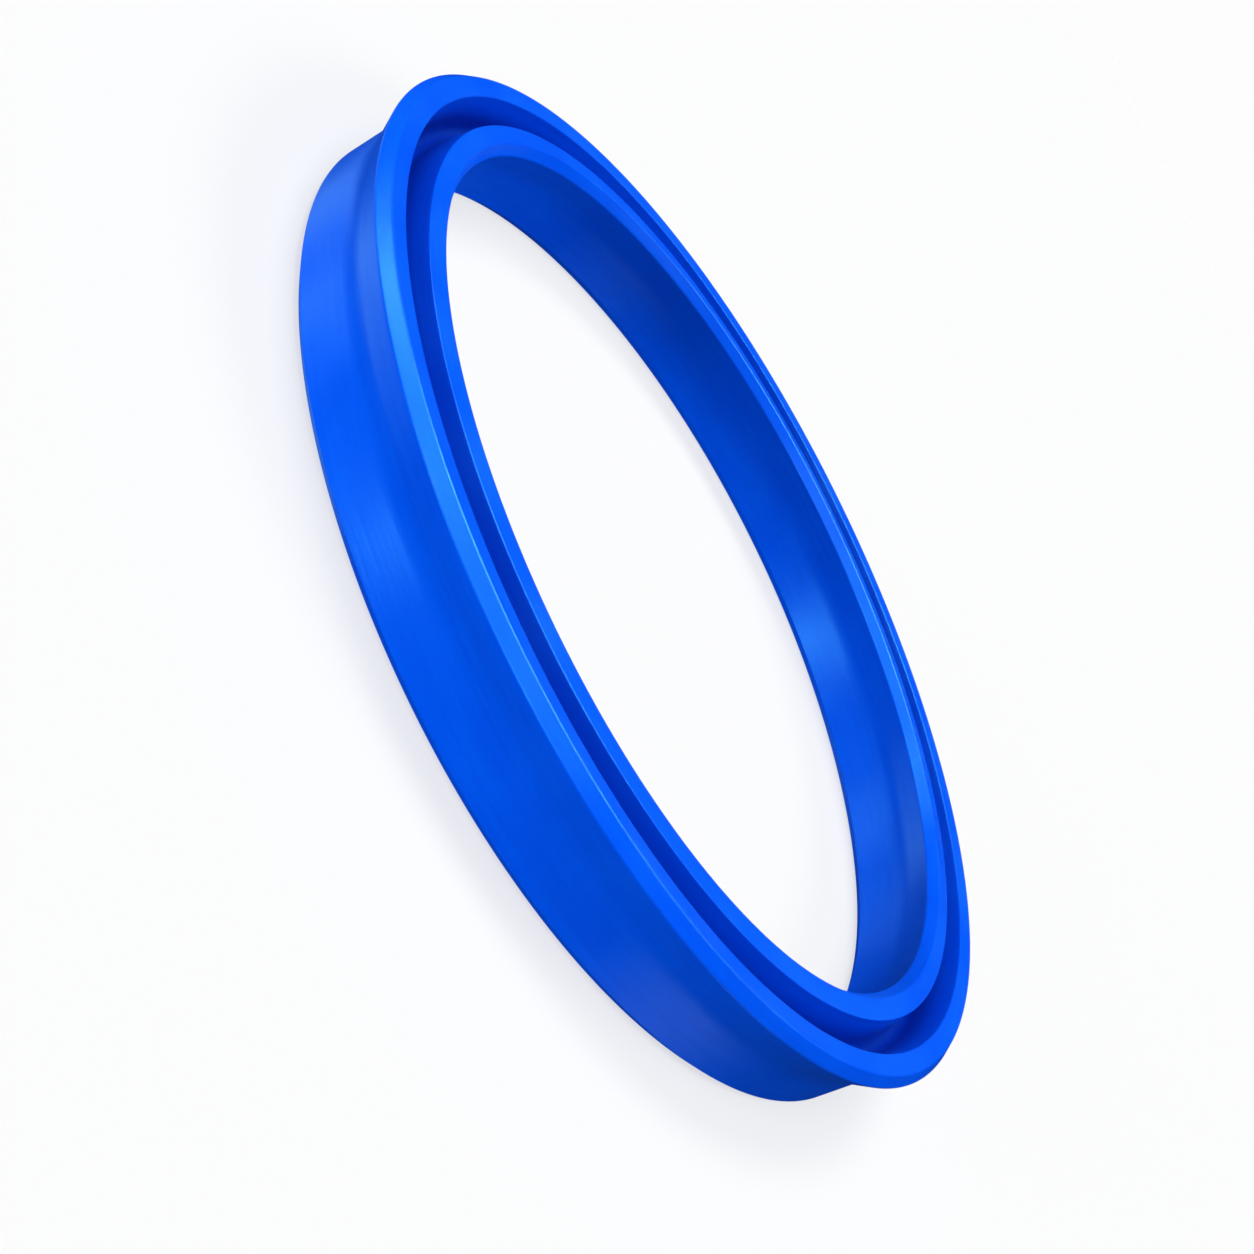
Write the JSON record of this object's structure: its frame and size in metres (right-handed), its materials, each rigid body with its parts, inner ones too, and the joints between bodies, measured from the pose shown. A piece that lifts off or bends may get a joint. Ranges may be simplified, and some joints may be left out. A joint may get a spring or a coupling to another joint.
{
  "type": "u cup seal",
  "caption": "Ring seal of blue polyurethane with a solid heel and two flared lips around an open annular groove; it seals a rod or piston against fluid pressure.",
  "frame": {"origin": "centre of the heel's flat face, on the ring's axis", "axes": "+Z along the ring's axis, from the heel towards the lips and the pressure side"},
  "size_m": [0.1444, 0.1444, 0.0151],
  "materials": {
    "polyurethane": "blue polyurethane, satin, moulded and trimmed"
  },
  "bodies": {
    "root": {"seal_ring": "polyurethane"}
  },
  "joints": []
}
